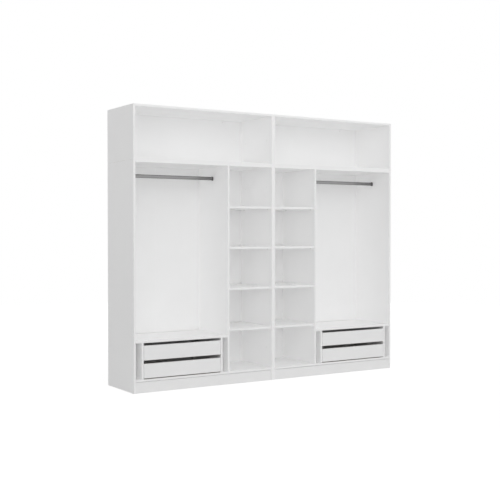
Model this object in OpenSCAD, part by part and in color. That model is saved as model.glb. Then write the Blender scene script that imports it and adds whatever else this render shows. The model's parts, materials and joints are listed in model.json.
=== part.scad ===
// Open wardrobe of two mirrored modules, each a base cabinet with a top unit on it.
// Millimetres. The origin is at floor level under the middle, the front faces -Y.
// A module is drawn from its outer side at x = 0 to the middle of the wardrobe.

/* [Overall size] */
// Width over both modules
overall_w = 2700; // [2300:10:3200]
// Depth from the front edges to the back of the joining strips
overall_d = 520; // [500:5:620]
// Height from the ground to the top of the top units
overall_h = 2345; // [2200:5:2500]

/* [Boards] */
// Thickness of the white coated boards
board_t = 18; // [16:1:22]
// Thickness of the fibreboard back panels
back_t = 3; // [2.5:0.5:5]
// Distance of the back panels' edges inside the cabinet's outline
back_margin = 2; // [1:0.5:5]
// Width of the strip that joins two back panels
strip_w = 14; // [8:1:24]
// Wall of the joining strip
strip_wall = 0.8; // [0.6:0.1:1.2]

/* [Base cabinets] */
// Height of the base cabinets above the ground
base_h = 1895; // [1800:5:2050]
// Height of the floor board's underside above the ground
plinth_h = 95; // [70:5:140]
// Distance of the plinth behind the front edges
plinth_setback = 6; // [2:1:40]
// Clear width of the shelf column
shelf_bay_w = 431; // [350:1:550]

/* [Shelves] */
// Number of shelves in each column
shelf_count = 4; // [2:1:4]
// Height of the lowest shelf's underside above the floor board
first_shelf_h = 347; // [250:1:400]
// Distance from one shelf to the next
shelf_pitch = 352; // [288:32:384]
// Gap between a shelf's end and the upright beside it
shelf_gap = 1; // [0.5:0.1:2]
// Distance of the shelves' front edges behind the uprights' edges
shelf_setback = 2; // [0:1:30]
// Gap between the back panels and the boards that stop short of them
rear_gap = 4; // [2:1:20]

/* [Drawer insert] */
// Width of the open slot on each side of the insert
slot_w = 52; // [30:1:90]
// Gap between the insert's top board and the uprights
insert_gap = 0.5; // [0.3:0.1:0.9]
// Height of a drawer front
front_h = 120; // [115:1:180]
// Gap under the lower drawer front
foot_gap = 6; // [4:1:15]
// Finger gap between the two drawer fronts
middle_gap = 28; // [20:1:35]
// Finger gap over the upper drawer front
top_gap = 22; // [15:1:35]
// Gap on each side of a drawer front
front_gap = 3; // [2:0.5:4]

/* [Drawer boxes] */
// Thickness of the box walls
wall_t = 12; // [10:1:16]
// Height of the box walls
wall_h = 96; // [80:1:104]
// Height of the walls' lower edge above the front's lower edge
box_lift = 8; // [4:1:10]
// Thickness of the drawer bottom
bottom_t = 3; // [3:0.5:5]
// Depth of the groove that holds the bottom
groove_depth = 6; // [4:0.5:7]
// Height of the groove above the walls' lower edge
groove_lift = 8; // [6:1:12]

/* [Drawer runners] */
// Gap between a drawer's back and the back panels, which sets the runners' length
drawer_rear_gap = 48; // [20:1:150]
// Height of a runner
runner_h = 45; // [40:1:50]
// Thickness of a runner, which is the space beside the box
runner_t = 12.7; // [12.5:0.1:14]
// Thickness of the runner's steel
steel_t = 1.2; // [1:0.1:1.5]
// Gap between the runner's members
run_gap = 0.4; // [0.3:0.1:0.5]
// Height of the lips that hold the members together
lip_h = 3; // [2:0.5:4]
// Gap between a runner's ends and the drawer front
runner_setback = 2; // [1:0.5:5]

/* [Hanging rods] */
// Height of the oval rod
rod_h = 30; // [25:1:35]
// Thickness of the oval rod from front to back
rod_t = 15; // [13:1:20]
// Wall of the rod's tube
rod_wall = 1.2; // [1:0.1:2]
// Distance of the rod's centre below the ceiling board
rod_drop = 98; // [60:1:120]
// Gap around the rod in its sockets
rod_gap = 0.3; // [0.2:0.1:0.6]
// Wall of a rod socket
socket_wall = 2.5; // [2:0.5:4]
// Reach of a rod socket out from the upright
socket_len = 12; // [8:1:20]
// Diameter of the two pegs that fix a socket
peg_d = 5; // [4:0.5:6]
// Length of the pegs in the upright
peg_len = 9; // [6:1:11]
// Distance between the two pegs
peg_pitch = 16; // [12:1:20]

/* [Fittings] */
// Clearance around pins, dowels, bolts and the drawer bottom
fit_gap = 0.2; // [0.1:0.05:0.3]
// Distance of corner fittings from the boards' front and rear edges
edge_inset = 60; // [40:5:100]
// Diameter of a cam
cam_d = 15; // [12:1:16]
// Thickness of a cam behind its bolt
cam_floor = 0.6; // [0.4:0.1:1]
// Distance from the board's end to the cam's centre
cam_inset = 24; // [20:1:34]
// Diameter of a cam bolt's shank
cam_bolt_d = 6; // [5:0.5:7]
// Diameter of a cam bolt's thread
cam_thread_d = 5; // [4:0.5:6]
// Length of a cam bolt's thread in the upright
cam_thread_len = 10; // [8:1:11]
// Diameter of a dowel
dowel_d = 8; // [6:1:10]
// Length of a dowel
dowel_len = 30; // [25:5:40]
// Depth of a dowel in the face that it enters
dowel_seat = 12; // [8:1:13]
// Diameter of a shelf pin in the upright
pin_d = 5; // [4:0.5:6]
// Depth of a shelf pin in the upright
pin_depth = 8; // [6:1:11]
// Diameter of a shelf pin under the shelf
pin_head_d = 7.5; // [7:0.5:10]
// Reach of a shelf pin under the shelf
pin_reach = 9; // [7:1:14]
// Gap between a shelf pin and the shelf on it
pin_gap = 0.1; // [0.05:0.05:0.3]
// Diameter of a joining bolt
bolt_d = 8; // [6:1:10]
// Diameter of a joining bolt's head
bolt_head_d = 16; // [12:1:20]
// Thickness of a joining bolt's head
bolt_head_t = 2; // [1.5:0.5:3]
// Distance of joining bolts from the front and rear edges
bolt_edge = 80; // [50:5:120]
// Distance of the upright joining bolts from a module's sides
bolt_inset = 140; // [100:5:200]
// Diameter of a floor glide
glide_d = 16; // [12:1:16]
// Height of a floor glide
glide_h = 3; // [2:0.5:5]
// Diameter of a glide's nail
nail_d = 2; // [1.5:0.5:3]
// Length of a glide's nail
nail_len = 14; // [10:1:20]
// Distance of the glides from the front and rear edges
glide_edge = 30; // [15:5:60]
// Length of a wall bracket's legs
bracket_leg = 30; // [24:1:40]
// Width of a wall bracket
bracket_w = 16; // [14:1:24]
// Thickness of a wall bracket
bracket_t = 2; // [1.5:0.5:3]
// Diameter of the holes for the wall screws
wall_hole_d = 5.5; // [4.5:0.5:7]
// Diameter of a bracket's own wood screw
screw_d = 4; // [3.5:0.5:5]
// Length of a bracket's own wood screw in the board
screw_len = 12; // [8:1:13]
// Diameter of the wood screw's head
screw_head_d = 8; // [7:0.5:10]
// Thickness of the wood screw's head
screw_head_t = 2; // [1.5:0.5:3]
// Distance of the wall brackets from a module's sides
bracket_inset = 200; // [120:10:300]

/* [Hidden] */
$fn = 32;

// Colours
white_board = [0.93, 0.93, 0.92];
white_back = [0.89, 0.89, 0.88];
white_plastic = [0.9, 0.9, 0.89];
steel = [0.62, 0.63, 0.65];
zinc = [0.72, 0.72, 0.7];
beech = [0.8, 0.66, 0.46];

// Depths
front_y = -overall_d / 2;
carcass_d = overall_d - back_t - fit_gap - strip_wall;
rear_y = front_y + carcass_d;
inner_rear_y = rear_y - rear_gap;
fitting_ys = [front_y + edge_inset, rear_y - edge_inset];
bolt_ys = [front_y + bolt_edge, rear_y - bolt_edge];
glide_ys = [front_y + glide_edge, rear_y - glide_edge];
rail_ys = [front_y + plinth_setback + board_t / 2, rear_y - board_t / 2];

// Widths in a module
module_w = overall_w / 2;
inner_x = module_w - board_t;
divider_x = inner_x - shelf_bay_w - board_t;
bay_w = divider_x - board_t;
bay_mid_x = board_t + bay_w / 2;
shelf_bay_x = divider_x + board_t;

// Levels
floor_top = plinth_h + board_t;
rail_dowel_z = (glide_h + plinth_h) / 2;
ceiling_z = base_h - board_t;
top_unit_floor_top = base_h + board_t;
roof_z = overall_h - board_t;
shelf_zs = [for (i = [0 : shelf_count - 1]) floor_top + first_shelf_h + i * shelf_pitch];
last_shelf_top = shelf_zs[shelf_count - 1] + board_t;
rod_z = ceiling_z - rod_drop;
rod_y = (front_y + rear_y) / 2;

// Drawer insert
insert_xs = [board_t + slot_w, divider_x - slot_w - board_t];
insert_low_x = insert_xs[0] + board_t;
insert_high_x = insert_xs[1];
lower_front_z = floor_top + foot_gap;
upper_front_z = lower_front_z + front_h + middle_gap;
insert_top_z = upper_front_z + front_h + top_gap;

// Drawers
front_back_y = front_y + board_t;
box_low_x = insert_low_x + runner_t;
box_high_x = insert_high_x - runner_t;
box_back_y = rear_y - drawer_rear_gap;
runner_len = box_back_y - front_back_y;
runner_y = front_back_y + runner_setback;
member_len = runner_len - runner_setback;

// Runner members: the distance out from the insert's side, and half heights
lip_face = runner_t - steel_t - 2 * run_gap;
middle_web = steel_t + run_gap;
middle_face = lip_face - steel_t - run_gap;
drawer_flange = middle_face - 2 * steel_t - run_gap;
middle_half = runner_h / 2 - steel_t - run_gap;
middle_mouth = middle_half - steel_t - lip_h;
drawer_half = middle_mouth - run_gap;
drawer_flange_half = middle_half - steel_t - run_gap;

// Fittings
cam_depth = board_t / 2 + cam_bolt_d / 2 + fit_gap + cam_floor;
bolt_zs = [
    floor_top + first_shelf_h / 2,
    (last_shelf_top + ceiling_z) / 2,
    (base_h + overall_h) / 2
];
bolt_xs = [board_t + bolt_inset, inner_x - bolt_inset];
bracket_xs = [board_t + bracket_inset, inner_x - bracket_inset];
bracket_hole_z = roof_z - bracket_t - bracket_leg / 2;
bracket_screw_y = rear_y - bracket_t - bracket_leg / 2;
overlap = 1;

// Places a module's pieces at the left, or mirrored at the right
module on_left() {
    translate([-module_w, 0, 0]) children();
}

module on_right() {
    mirror([1, 0, 0]) on_left() children();
}

module on_both() {
    on_left() children();
    on_right() children();
}

// A box between two opposite corners
module slab(low, high) {
    translate(low) cube(high - low);
}

// Round bars along +X, -X and +Z from a point
module bar_x(p, d, len) {
    translate(p) rotate([0, 90, 0]) cylinder(d = d, h = len);
}

module bar_back_x(p, d, len) {
    translate(p) rotate([0, -90, 0]) cylinder(d = d, h = len);
}

module bar_z(p, d, len) {
    translate(p) cylinder(d = d, h = len);
}

// Cam fittings: z is the board's middle level, face is its hidden face, up or down
module cam_pockets(face, up) {
    for (x = [board_t + cam_inset, inner_x - cam_inset], y = fitting_ys) {
        low = up ? face - cam_depth - fit_gap : face - overlap;
        bar_z([x, y, low], cam_d + 2 * fit_gap, cam_depth + fit_gap + overlap);
    }
}

module cam_channels(z) {
    reach = cam_inset + overlap;
    for (y = fitting_ys) {
        bar_x([board_t - overlap, y, z], cam_bolt_d + 2 * fit_gap, reach + overlap);
        bar_back_x([inner_x + overlap, y, z], cam_bolt_d + 2 * fit_gap, reach + overlap);
    }
}

module cam_threads_outer(z) {
    depth = cam_thread_len + fit_gap;
    for (y = fitting_ys)
        bar_x([board_t - depth, y, z], cam_thread_d + 2 * fit_gap, depth + overlap);
}

module cam_threads_inner(z) {
    depth = cam_thread_len + fit_gap;
    for (y = fitting_ys)
        bar_x([inner_x - overlap, y, z], cam_thread_d + 2 * fit_gap, depth + overlap);
}

module cams(z, face, up) {
    low = up ? face - cam_depth : face + fit_gap;
    difference() {
        for (x = [board_t + cam_inset, inner_x - cam_inset], y = fitting_ys)
            bar_z([x, y, low], cam_d, cam_depth - fit_gap);
        cam_channels(z);
    }
    for (y = fitting_ys) {
        bar_x([board_t, y, z], cam_bolt_d, cam_inset);
        bar_x([board_t - cam_thread_len, y, z], cam_thread_d, cam_thread_len + overlap);
        bar_back_x([inner_x, y, z], cam_bolt_d, cam_inset);
        bar_x([inner_x - overlap, y, z], cam_thread_d, cam_thread_len + overlap);
    }
}

// Dowels standing on a face at level z, their seats in that face and their end holes
module dowel_holes_z(x, z, up) {
    low = up ? z - dowel_seat : z - (dowel_len - dowel_seat);
    for (y = fitting_ys)
        bar_z([x, y, low - fit_gap], dowel_d + 2 * fit_gap, dowel_len + 2 * fit_gap);
}

module dowels_z(x, z, up) {
    low = up ? z - dowel_seat : z - (dowel_len - dowel_seat);
    for (y = fitting_ys) bar_z([x, y, low], dowel_d, dowel_len);
}

// Dowels that hold the plinth rails between the sides
module plinth_dowels(spare) {
    d = dowel_d + 2 * spare;
    len = dowel_len + 2 * spare;
    for (y = rail_ys) {
        bar_x([board_t - dowel_seat - spare, y, rail_dowel_z], d, len);
        bar_back_x([inner_x + dowel_seat + spare, y, rail_dowel_z], d, len);
    }
}

// Joining bolts: across the two inner sides, and up through ceiling and top unit floor
module cross_bolts(spare) {
    for (y = bolt_ys, z = bolt_zs)
        bar_back_x([module_w + overlap, y, z], bolt_d + 2 * spare, board_t + 2 * overlap);
}

module upright_bolts(spare) {
    for (x = bolt_xs, y = bolt_ys)
        bar_z([x, y, ceiling_z - overlap], bolt_d + 2 * spare, 2 * (board_t + overlap));
}

// Pegs of a rod socket, from x and len long
module rod_pegs(x, len, spare) {
    for (side = [-1, 1])
        bar_x([x, rod_y, rod_z + side * peg_pitch / 2], peg_d + 2 * spare, len);
}

module glide_nails(x, spare) {
    for (y = glide_ys) bar_z([x, y, glide_h - overlap], nail_d + 2 * spare, nail_len + overlap);
}

// Shelf pin holes go into an upright from x, to the left or to the right
module pin_holes(x, rightwards) {
    depth = pin_depth + fit_gap;
    start = rightwards ? x - overlap : x - depth;
    for (y = fitting_ys, z = shelf_zs)
        bar_x([start, y, z - pin_gap - pin_head_d / 2], pin_d + 2 * fit_gap, depth + overlap);
}

// Base cabinet boards
module outer_side() {
    color(white_board) difference() {
        slab([0, front_y, glide_h], [board_t, rear_y, base_h]);
        cam_threads_outer(plinth_h + board_t / 2);
        cam_threads_outer(ceiling_z + board_t / 2);
        plinth_dowels(fit_gap);
        rod_pegs(board_t - peg_len - fit_gap, peg_len + fit_gap + overlap, fit_gap);
        glide_nails(board_t / 2, fit_gap);
    }
}

module inner_side() {
    color(white_board) difference() {
        slab([inner_x, front_y, glide_h], [module_w, rear_y, base_h]);
        cam_threads_inner(plinth_h + board_t / 2);
        cam_threads_inner(ceiling_z + board_t / 2);
        plinth_dowels(fit_gap);
        pin_holes(inner_x, true);
        cross_bolts(fit_gap);
        glide_nails(inner_x + board_t / 2, fit_gap);
    }
}

module divider() {
    color(white_board) difference() {
        slab([divider_x, front_y, floor_top], [shelf_bay_x, rear_y, ceiling_z]);
        dowel_holes_z(divider_x + board_t / 2, floor_top, true);
        dowel_holes_z(divider_x + board_t / 2, ceiling_z, false);
        pin_holes(shelf_bay_x, false);
        rod_pegs(divider_x - overlap, peg_len + fit_gap + overlap, fit_gap);
    }
}

module ceiling_board() {
    color(white_board) difference() {
        slab([board_t, front_y, ceiling_z], [inner_x, rear_y, base_h]);
        cam_pockets(base_h, true);
        cam_channels(ceiling_z + board_t / 2);
        dowel_holes_z(divider_x + board_t / 2, ceiling_z, false);
        upright_bolts(fit_gap);
    }
}

module floor_board() {
    color(white_board) difference() {
        slab([board_t, front_y, plinth_h], [inner_x, rear_y, floor_top]);
        cam_pockets(plinth_h, false);
        cam_channels(plinth_h + board_t / 2);
        dowel_holes_z(divider_x + board_t / 2, floor_top, true);
        for (x = insert_xs) dowel_holes_z(x + board_t / 2, floor_top, true);
    }
}

// The plinth and the rail behind it carry the floor board
module plinth() {
    color(white_board) difference() {
        for (y = rail_ys)
            slab([board_t, y - board_t / 2, glide_h], [inner_x, y + board_t / 2, plinth_h]);
        plinth_dowels(fit_gap);
    }
}

module shelves() {
    color(white_board) for (z = shelf_zs)
        slab(
            [shelf_bay_x + shelf_gap, front_y + shelf_setback, z],
            [inner_x - shelf_gap, inner_rear_y, z + board_t]
        );
}

// Two back panels meet in the joining strip, two on the divider's rear edge
module back_panels() {
    half_joint = strip_wall / 2 + fit_gap;
    divider_mid = divider_x + board_t / 2;
    edges = [
        [back_margin, bay_mid_x - half_joint],
        [bay_mid_x + half_joint, divider_mid - fit_gap],
        [divider_mid + fit_gap, module_w - back_margin]
    ];
    color(white_back) for (e = edges)
        slab(
            [e[0], rear_y, plinth_h + back_margin],
            [e[1], rear_y + back_t, base_h - back_margin]
        );
}

// The strip has an H section, and runs between the floor board and the ceiling board
module back_strip() {
    low_y = rear_y - fit_gap - strip_wall;
    high_y = rear_y + back_t + fit_gap + strip_wall;
    low_z = floor_top + back_margin;
    color(white_plastic) translate([bay_mid_x, 0, low_z])
        linear_extrude(ceiling_z - back_margin - low_z) {
            for (y = [low_y, high_y - strip_wall])
                translate([-strip_w / 2, y]) square([strip_w, strip_wall]);
            translate([-strip_wall / 2, low_y]) square([strip_wall, high_y - low_y]);
        }
}

// Top unit boards
module top_unit_sides() {
    color(white_board) difference() {
        union() {
            slab([0, front_y, base_h], [board_t, rear_y, overall_h]);
            slab([inner_x, front_y, base_h], [module_w, rear_y, overall_h]);
        }
        for (z = [base_h + board_t / 2, roof_z + board_t / 2]) {
            cam_threads_outer(z);
            cam_threads_inner(z);
        }
        cross_bolts(fit_gap);
    }
}

module top_unit_floor() {
    color(white_board) difference() {
        slab([board_t, front_y, base_h], [inner_x, rear_y, top_unit_floor_top]);
        cam_pockets(base_h, false);
        cam_channels(base_h + board_t / 2);
        upright_bolts(fit_gap);
    }
}

module top_unit_roof() {
    color(white_board) difference() {
        slab([board_t, front_y, roof_z], [inner_x, rear_y, overall_h]);
        cam_pockets(overall_h, true);
        cam_channels(roof_z + board_t / 2);
        for (x = bracket_xs)
            bar_z(
                [x, bracket_screw_y, roof_z - overlap],
                screw_d + 2 * fit_gap, screw_len + fit_gap + overlap
            );
    }
}

module top_unit_back() {
    color(white_back) difference() {
        slab(
            [back_margin, rear_y, base_h + back_margin],
            [module_w - back_margin, rear_y + back_t, overall_h - back_margin]
        );
        wall_screw_holes(rear_y - overlap, back_t + 2 * overlap);
    }
}

// Drawer insert
module insert_top() {
    color(white_board) difference() {
        slab(
            [board_t + insert_gap, front_y, insert_top_z],
            [divider_x - insert_gap, inner_rear_y, insert_top_z + board_t]
        );
        for (x = insert_xs) dowel_holes_z(x + board_t / 2, insert_top_z, false);
    }
}

module insert_sides() {
    color(white_board) difference() {
        for (x = insert_xs)
            slab([x, front_y, floor_top], [x + board_t, inner_rear_y, insert_top_z]);
        for (x = insert_xs) {
            dowel_holes_z(x + board_t / 2, floor_top, true);
            dowel_holes_z(x + board_t / 2, insert_top_z, false);
        }
    }
}

// An oval outline that stands on end, h high and t thick
module oval(h, t) {
    for (side = [-1, 1]) translate([side * (h - t) / 2, 0]) circle(d = t);
    square([h - t, t], center = true);
}

module along_rod(x, len) {
    translate([x, rod_y, rod_z]) rotate([0, 90, 0]) linear_extrude(len) children();
}

module rod() {
    low = board_t + socket_wall + rod_gap;
    high = divider_x - socket_wall - rod_gap;
    color(steel) along_rod(low, high - low) difference() {
        oval(rod_h, rod_t);
        oval(rod_h - 2 * rod_wall, rod_t - 2 * rod_wall);
    }
}

// A socket is an oval cup on the upright, with two pegs in it
module rod_socket() {
    spare = 2 * (rod_gap + socket_wall);
    along_rod(0, socket_wall) oval(rod_h + spare, rod_t + spare);
    along_rod(0, socket_len) difference() {
        oval(rod_h + spare, rod_t + spare);
        oval(rod_h + 2 * rod_gap, rod_t + 2 * rod_gap);
    }
    rod_pegs(-peg_len, peg_len + overlap, 0);
}

module rod_sockets() {
    color(zinc) on_both() {
        translate([board_t, 0, 0]) rod_socket();
        translate([divider_x, 0, 0]) mirror([1, 0, 0]) rod_socket();
    }
}

// Runner sections: x runs out from the insert's side, y runs up from the middle
module mirrored_up() {
    children();
    mirror([0, 1]) children();
}

module block(x0, x1, y0, y1) {
    translate([x0, y0]) square([x1 - x0, y1 - y0]);
}

module cabinet_section() {
    half = runner_h / 2;
    block(0, steel_t, -half, half);
    mirrored_up() {
        block(0, lip_face, half - steel_t, half);
        block(lip_face - steel_t, lip_face, half - steel_t - lip_h, half);
    }
}

module middle_section() {
    block(middle_web, middle_web + steel_t, -middle_half, middle_half);
    mirrored_up() {
        block(middle_web, middle_face, middle_half - steel_t, middle_half);
        block(middle_face - steel_t, middle_face, middle_mouth, middle_half);
    }
}

module drawer_section() {
    block(runner_t - steel_t, runner_t, -drawer_half, drawer_half);
    mirrored_up() {
        block(drawer_flange, runner_t, drawer_half - steel_t, drawer_half);
        block(drawer_flange, drawer_flange + steel_t, drawer_half - steel_t, drawer_flange_half);
    }
}

// A pair of runner members for the drawer whose front starts at level z
module runner_pair(z, len) {
    mid_z = z + box_lift + wall_h / 2;
    translate([insert_low_x, runner_y + len, mid_z])
        rotate([90, 0, 0]) linear_extrude(len) children();
    translate([insert_high_x, runner_y + len, mid_z])
        mirror([1, 0, 0]) rotate([90, 0, 0]) linear_extrude(len) children();
}

module cabinet_rails() {
    color(zinc) on_both() for (z = [lower_front_z, upper_front_z])
        runner_pair(z, runner_len) cabinet_section();
}

module middle_rails(z) {
    color(zinc) runner_pair(z, member_len) middle_section();
}

module drawer_rails(z) {
    color(zinc) runner_pair(z, member_len) drawer_section();
}

// The space that a drawer bottom fills, grown by a clearance
module bottom_slab(z, spare) {
    low = z + box_lift + groove_lift;
    reach = wall_t - groove_depth;
    slab(
        [box_low_x + reach - spare, front_back_y - groove_depth - spare, low - spare],
        [box_high_x - reach + spare, box_back_y, low + bottom_t + spare]
    );
}

module drawer_front(z) {
    color(white_board) difference() {
        slab(
            [insert_low_x + front_gap, front_y, z],
            [insert_high_x - front_gap, front_back_y, z + front_h]
        );
        bottom_slab(z, fit_gap);
    }
}

// Two side walls and the back, which stands on the drawer bottom
module drawer_walls(z) {
    low = z + box_lift;
    back_low = low + groove_lift + bottom_t + fit_gap;
    color(white_board) {
        difference() {
            for (x = [box_low_x, box_high_x - wall_t])
                slab([x, front_back_y, low], [x + wall_t, box_back_y, low + wall_h]);
            bottom_slab(z, fit_gap);
            translate([0, overlap, 0]) bottom_slab(z, fit_gap);
        }
        slab(
            [box_low_x + wall_t + fit_gap, box_back_y - wall_t, back_low],
            [box_high_x - wall_t - fit_gap, box_back_y, low + wall_h]
        );
    }
}

module drawer_bottom(z) {
    color(white_back) bottom_slab(z, 0);
}

// Shelf pins, each with a thicker end under the shelf
module shelf_pin() {
    bar_x([0, 0, 0], pin_head_d, pin_reach);
    bar_x([-pin_depth, 0, 0], pin_d, pin_depth + overlap);
}

module shelf_pins() {
    color(zinc) on_both() for (y = fitting_ys, z = shelf_zs) {
        axis_z = z - pin_gap - pin_head_d / 2;
        translate([shelf_bay_x, y, axis_z]) shelf_pin();
        translate([inner_x, y, axis_z]) mirror([1, 0, 0]) shelf_pin();
    }
}

module cam_fittings() {
    color(zinc) on_both() {
        cams(plinth_h + board_t / 2, plinth_h, false);
        cams(ceiling_z + board_t / 2, base_h, true);
        cams(base_h + board_t / 2, base_h, false);
        cams(roof_z + board_t / 2, overall_h, true);
    }
}

module joining_bolts() {
    length = 2 * board_t;
    color(zinc) {
        for (y = bolt_ys, z = bolt_zs) {
            bar_x([-board_t, y, z], bolt_d, length);
            bar_x([board_t, y, z], bolt_head_d, bolt_head_t);
            bar_back_x([-board_t, y, z], bolt_head_d, bolt_head_t);
        }
        on_both() for (x = bolt_xs, y = bolt_ys) {
            bar_z([x, y, ceiling_z], bolt_d, length);
            bar_z([x, y, top_unit_floor_top], bolt_head_d, bolt_head_t);
            bar_z([x, y, ceiling_z - bolt_head_t], bolt_head_d, bolt_head_t);
        }
    }
}

module floor_glides() {
    color(white_plastic) on_both() for (x = [board_t / 2, inner_x + board_t / 2]) {
        for (y = glide_ys) bar_z([x, y, 0], glide_d, glide_h);
        glide_nails(x, 0);
    }
}

// Holes for the wall screws, along Y through bracket and back panel
module wall_screw_holes(y, len) {
    for (x = bracket_xs)
        translate([x, y, bracket_hole_z]) rotate([-90, 0, 0]) cylinder(d = wall_hole_d, h = len);
}

// Angle brackets under the roof board, each with its wood screw
module wall_brackets() {
    color(white_plastic) on_both() {
        difference() {
            for (x = bracket_xs) {
                low = [x - bracket_w / 2, rear_y - bracket_t, roof_z - bracket_leg];
                slab(low, [x + bracket_w / 2, rear_y, roof_z]);
                slab(
                    [x - bracket_w / 2, rear_y - bracket_leg, roof_z - bracket_t],
                    [x + bracket_w / 2, rear_y, roof_z]
                );
            }
            wall_screw_holes(rear_y - bracket_t - overlap, bracket_t + 2 * overlap);
            for (x = bracket_xs)
                bar_z(
                    [x, bracket_screw_y, roof_z - bracket_t - overlap],
                    screw_d + 2 * fit_gap, bracket_t + 2 * overlap
                );
        }
        for (x = bracket_xs) {
            head_z = roof_z - bracket_t - fit_gap - screw_head_t;
            shank_len = screw_head_t + fit_gap + bracket_t + screw_len;
            bar_z([x, bracket_screw_y, head_z], screw_head_d, screw_head_t);
            bar_z([x, bracket_screw_y, head_z], screw_d, shank_len);
        }
    }
}

module dowels() {
    color(beech) on_both() {
        dowels_z(divider_x + board_t / 2, floor_top, true);
        dowels_z(divider_x + board_t / 2, ceiling_z, false);
        for (x = insert_xs) {
            dowels_z(x + board_t / 2, floor_top, true);
            dowels_z(x + board_t / 2, insert_top_z, false);
        }
        plinth_dowels(0);
    }
}

// Left module
on_left() outer_side();  // left_outer_side
on_left() inner_side();  // left_inner_side
on_left() divider();  // left_divider
on_left() ceiling_board();  // left_ceiling
on_left() floor_board();  // left_floor
on_left() plinth();  // left_plinth
on_left() shelves();  // left_shelves
on_left() back_panels();  // left_back_panels
on_left() insert_top();  // left_insert_top
on_left() insert_sides();  // left_insert_sides
on_left() rod();  // left_rod
on_left() top_unit_sides();  // left_top_unit_sides
on_left() top_unit_floor();  // left_top_unit_floor
on_left() top_unit_roof();  // left_top_unit_roof
on_left() top_unit_back();  // left_top_unit_back

// Right module
on_right() outer_side();  // right_outer_side
on_right() inner_side();  // right_inner_side
on_right() divider();  // right_divider
on_right() ceiling_board();  // right_ceiling
on_right() floor_board();  // right_floor
on_right() plinth();  // right_plinth
on_right() shelves();  // right_shelves
on_right() back_panels();  // right_back_panels
on_right() insert_top();  // right_insert_top
on_right() insert_sides();  // right_insert_sides
on_right() rod();  // right_rod
on_right() top_unit_sides();  // right_top_unit_sides
on_right() top_unit_floor();  // right_top_unit_floor
on_right() top_unit_roof();  // right_top_unit_roof
on_right() top_unit_back();  // right_top_unit_back

// Pieces that both modules share
on_both() back_strip();  // back_strips
rod_sockets();
cabinet_rails();
shelf_pins();
cam_fittings();
joining_bolts();
floor_glides();
wall_brackets();
dowels();

// Left drawers
on_left() drawer_front(lower_front_z);  // left_lower_drawer_front
on_left() drawer_walls(lower_front_z);  // left_lower_drawer_walls
on_left() drawer_bottom(lower_front_z);  // left_lower_drawer_bottom
on_left() drawer_rails(lower_front_z);  // left_lower_drawer_rails
on_left() middle_rails(lower_front_z);  // left_lower_middle_rails
on_left() drawer_front(upper_front_z);  // left_upper_drawer_front
on_left() drawer_walls(upper_front_z);  // left_upper_drawer_walls
on_left() drawer_bottom(upper_front_z);  // left_upper_drawer_bottom
on_left() drawer_rails(upper_front_z);  // left_upper_drawer_rails
on_left() middle_rails(upper_front_z);  // left_upper_middle_rails

// Right drawers
on_right() drawer_front(lower_front_z);  // right_lower_drawer_front
on_right() drawer_walls(lower_front_z);  // right_lower_drawer_walls
on_right() drawer_bottom(lower_front_z);  // right_lower_drawer_bottom
on_right() drawer_rails(lower_front_z);  // right_lower_drawer_rails
on_right() middle_rails(lower_front_z);  // right_lower_middle_rails
on_right() drawer_front(upper_front_z);  // right_upper_drawer_front
on_right() drawer_walls(upper_front_z);  // right_upper_drawer_walls
on_right() drawer_bottom(upper_front_z);  // right_upper_drawer_bottom
on_right() drawer_rails(upper_front_z);  // right_upper_drawer_rails
on_right() middle_rails(upper_front_z);  // right_upper_middle_rails
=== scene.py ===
"""Looks of an open white wardrobe of two mirrored modules, each a base cabinet with a top unit.

It is run as a script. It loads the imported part, dresses its boards, panels, drawers and fittings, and
sets up a plain studio with a camera.
"""

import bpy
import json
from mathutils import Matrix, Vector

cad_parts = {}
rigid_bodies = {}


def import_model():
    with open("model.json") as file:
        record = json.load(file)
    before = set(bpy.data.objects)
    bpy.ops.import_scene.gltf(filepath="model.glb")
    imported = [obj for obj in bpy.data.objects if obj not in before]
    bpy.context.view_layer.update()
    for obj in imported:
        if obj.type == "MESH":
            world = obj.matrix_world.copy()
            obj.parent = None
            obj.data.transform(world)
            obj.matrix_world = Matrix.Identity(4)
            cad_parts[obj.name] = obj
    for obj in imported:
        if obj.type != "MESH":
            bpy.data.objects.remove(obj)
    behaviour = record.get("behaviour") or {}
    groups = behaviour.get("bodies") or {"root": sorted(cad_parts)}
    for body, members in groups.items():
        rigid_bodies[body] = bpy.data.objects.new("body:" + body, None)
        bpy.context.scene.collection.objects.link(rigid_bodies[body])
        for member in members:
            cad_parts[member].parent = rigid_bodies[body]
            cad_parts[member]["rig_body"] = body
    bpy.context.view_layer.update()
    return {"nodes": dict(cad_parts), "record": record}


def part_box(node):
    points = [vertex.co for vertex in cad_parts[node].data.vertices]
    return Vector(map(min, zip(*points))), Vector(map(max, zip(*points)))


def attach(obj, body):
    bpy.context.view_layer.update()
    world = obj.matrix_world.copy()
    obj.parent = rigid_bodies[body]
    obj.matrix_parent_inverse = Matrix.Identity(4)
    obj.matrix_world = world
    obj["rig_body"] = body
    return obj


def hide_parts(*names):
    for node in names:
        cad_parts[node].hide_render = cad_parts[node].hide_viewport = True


bl_info = {
    "name": "Open wardrobe",
    "version": (1, 0, 0),
    "blender": (4, 5, 0),
    "location": "3D View > Sidebar > Wardrobe",
    "description": "Dresses the boards, panels, drawers and fittings of an open wardrobe",
    "category": "Object",
}

import json
import math
from itertools import product

import bmesh
import bpy
from bpy.props import FloatProperty, FloatVectorProperty, IntProperty, PointerProperty
from bpy.types import Operator, Panel, PropertyGroup
from mathutils import Matrix, Vector

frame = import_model()

MM = 0.001
MODULES = ("left", "right")
DRAWERS = [f"{module}_{level}" for module in MODULES for level in ("lower", "upper")]
DIRECTIONS = {
    "-x": Vector((-1, 0, 0)), "+x": Vector((1, 0, 0)),
    "-y": Vector((0, -1, 0)), "+y": Vector((0, 1, 0)),
    "-z": Vector((0, 0, -1)), "+z": Vector((0, 0, 1)),
}
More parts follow.
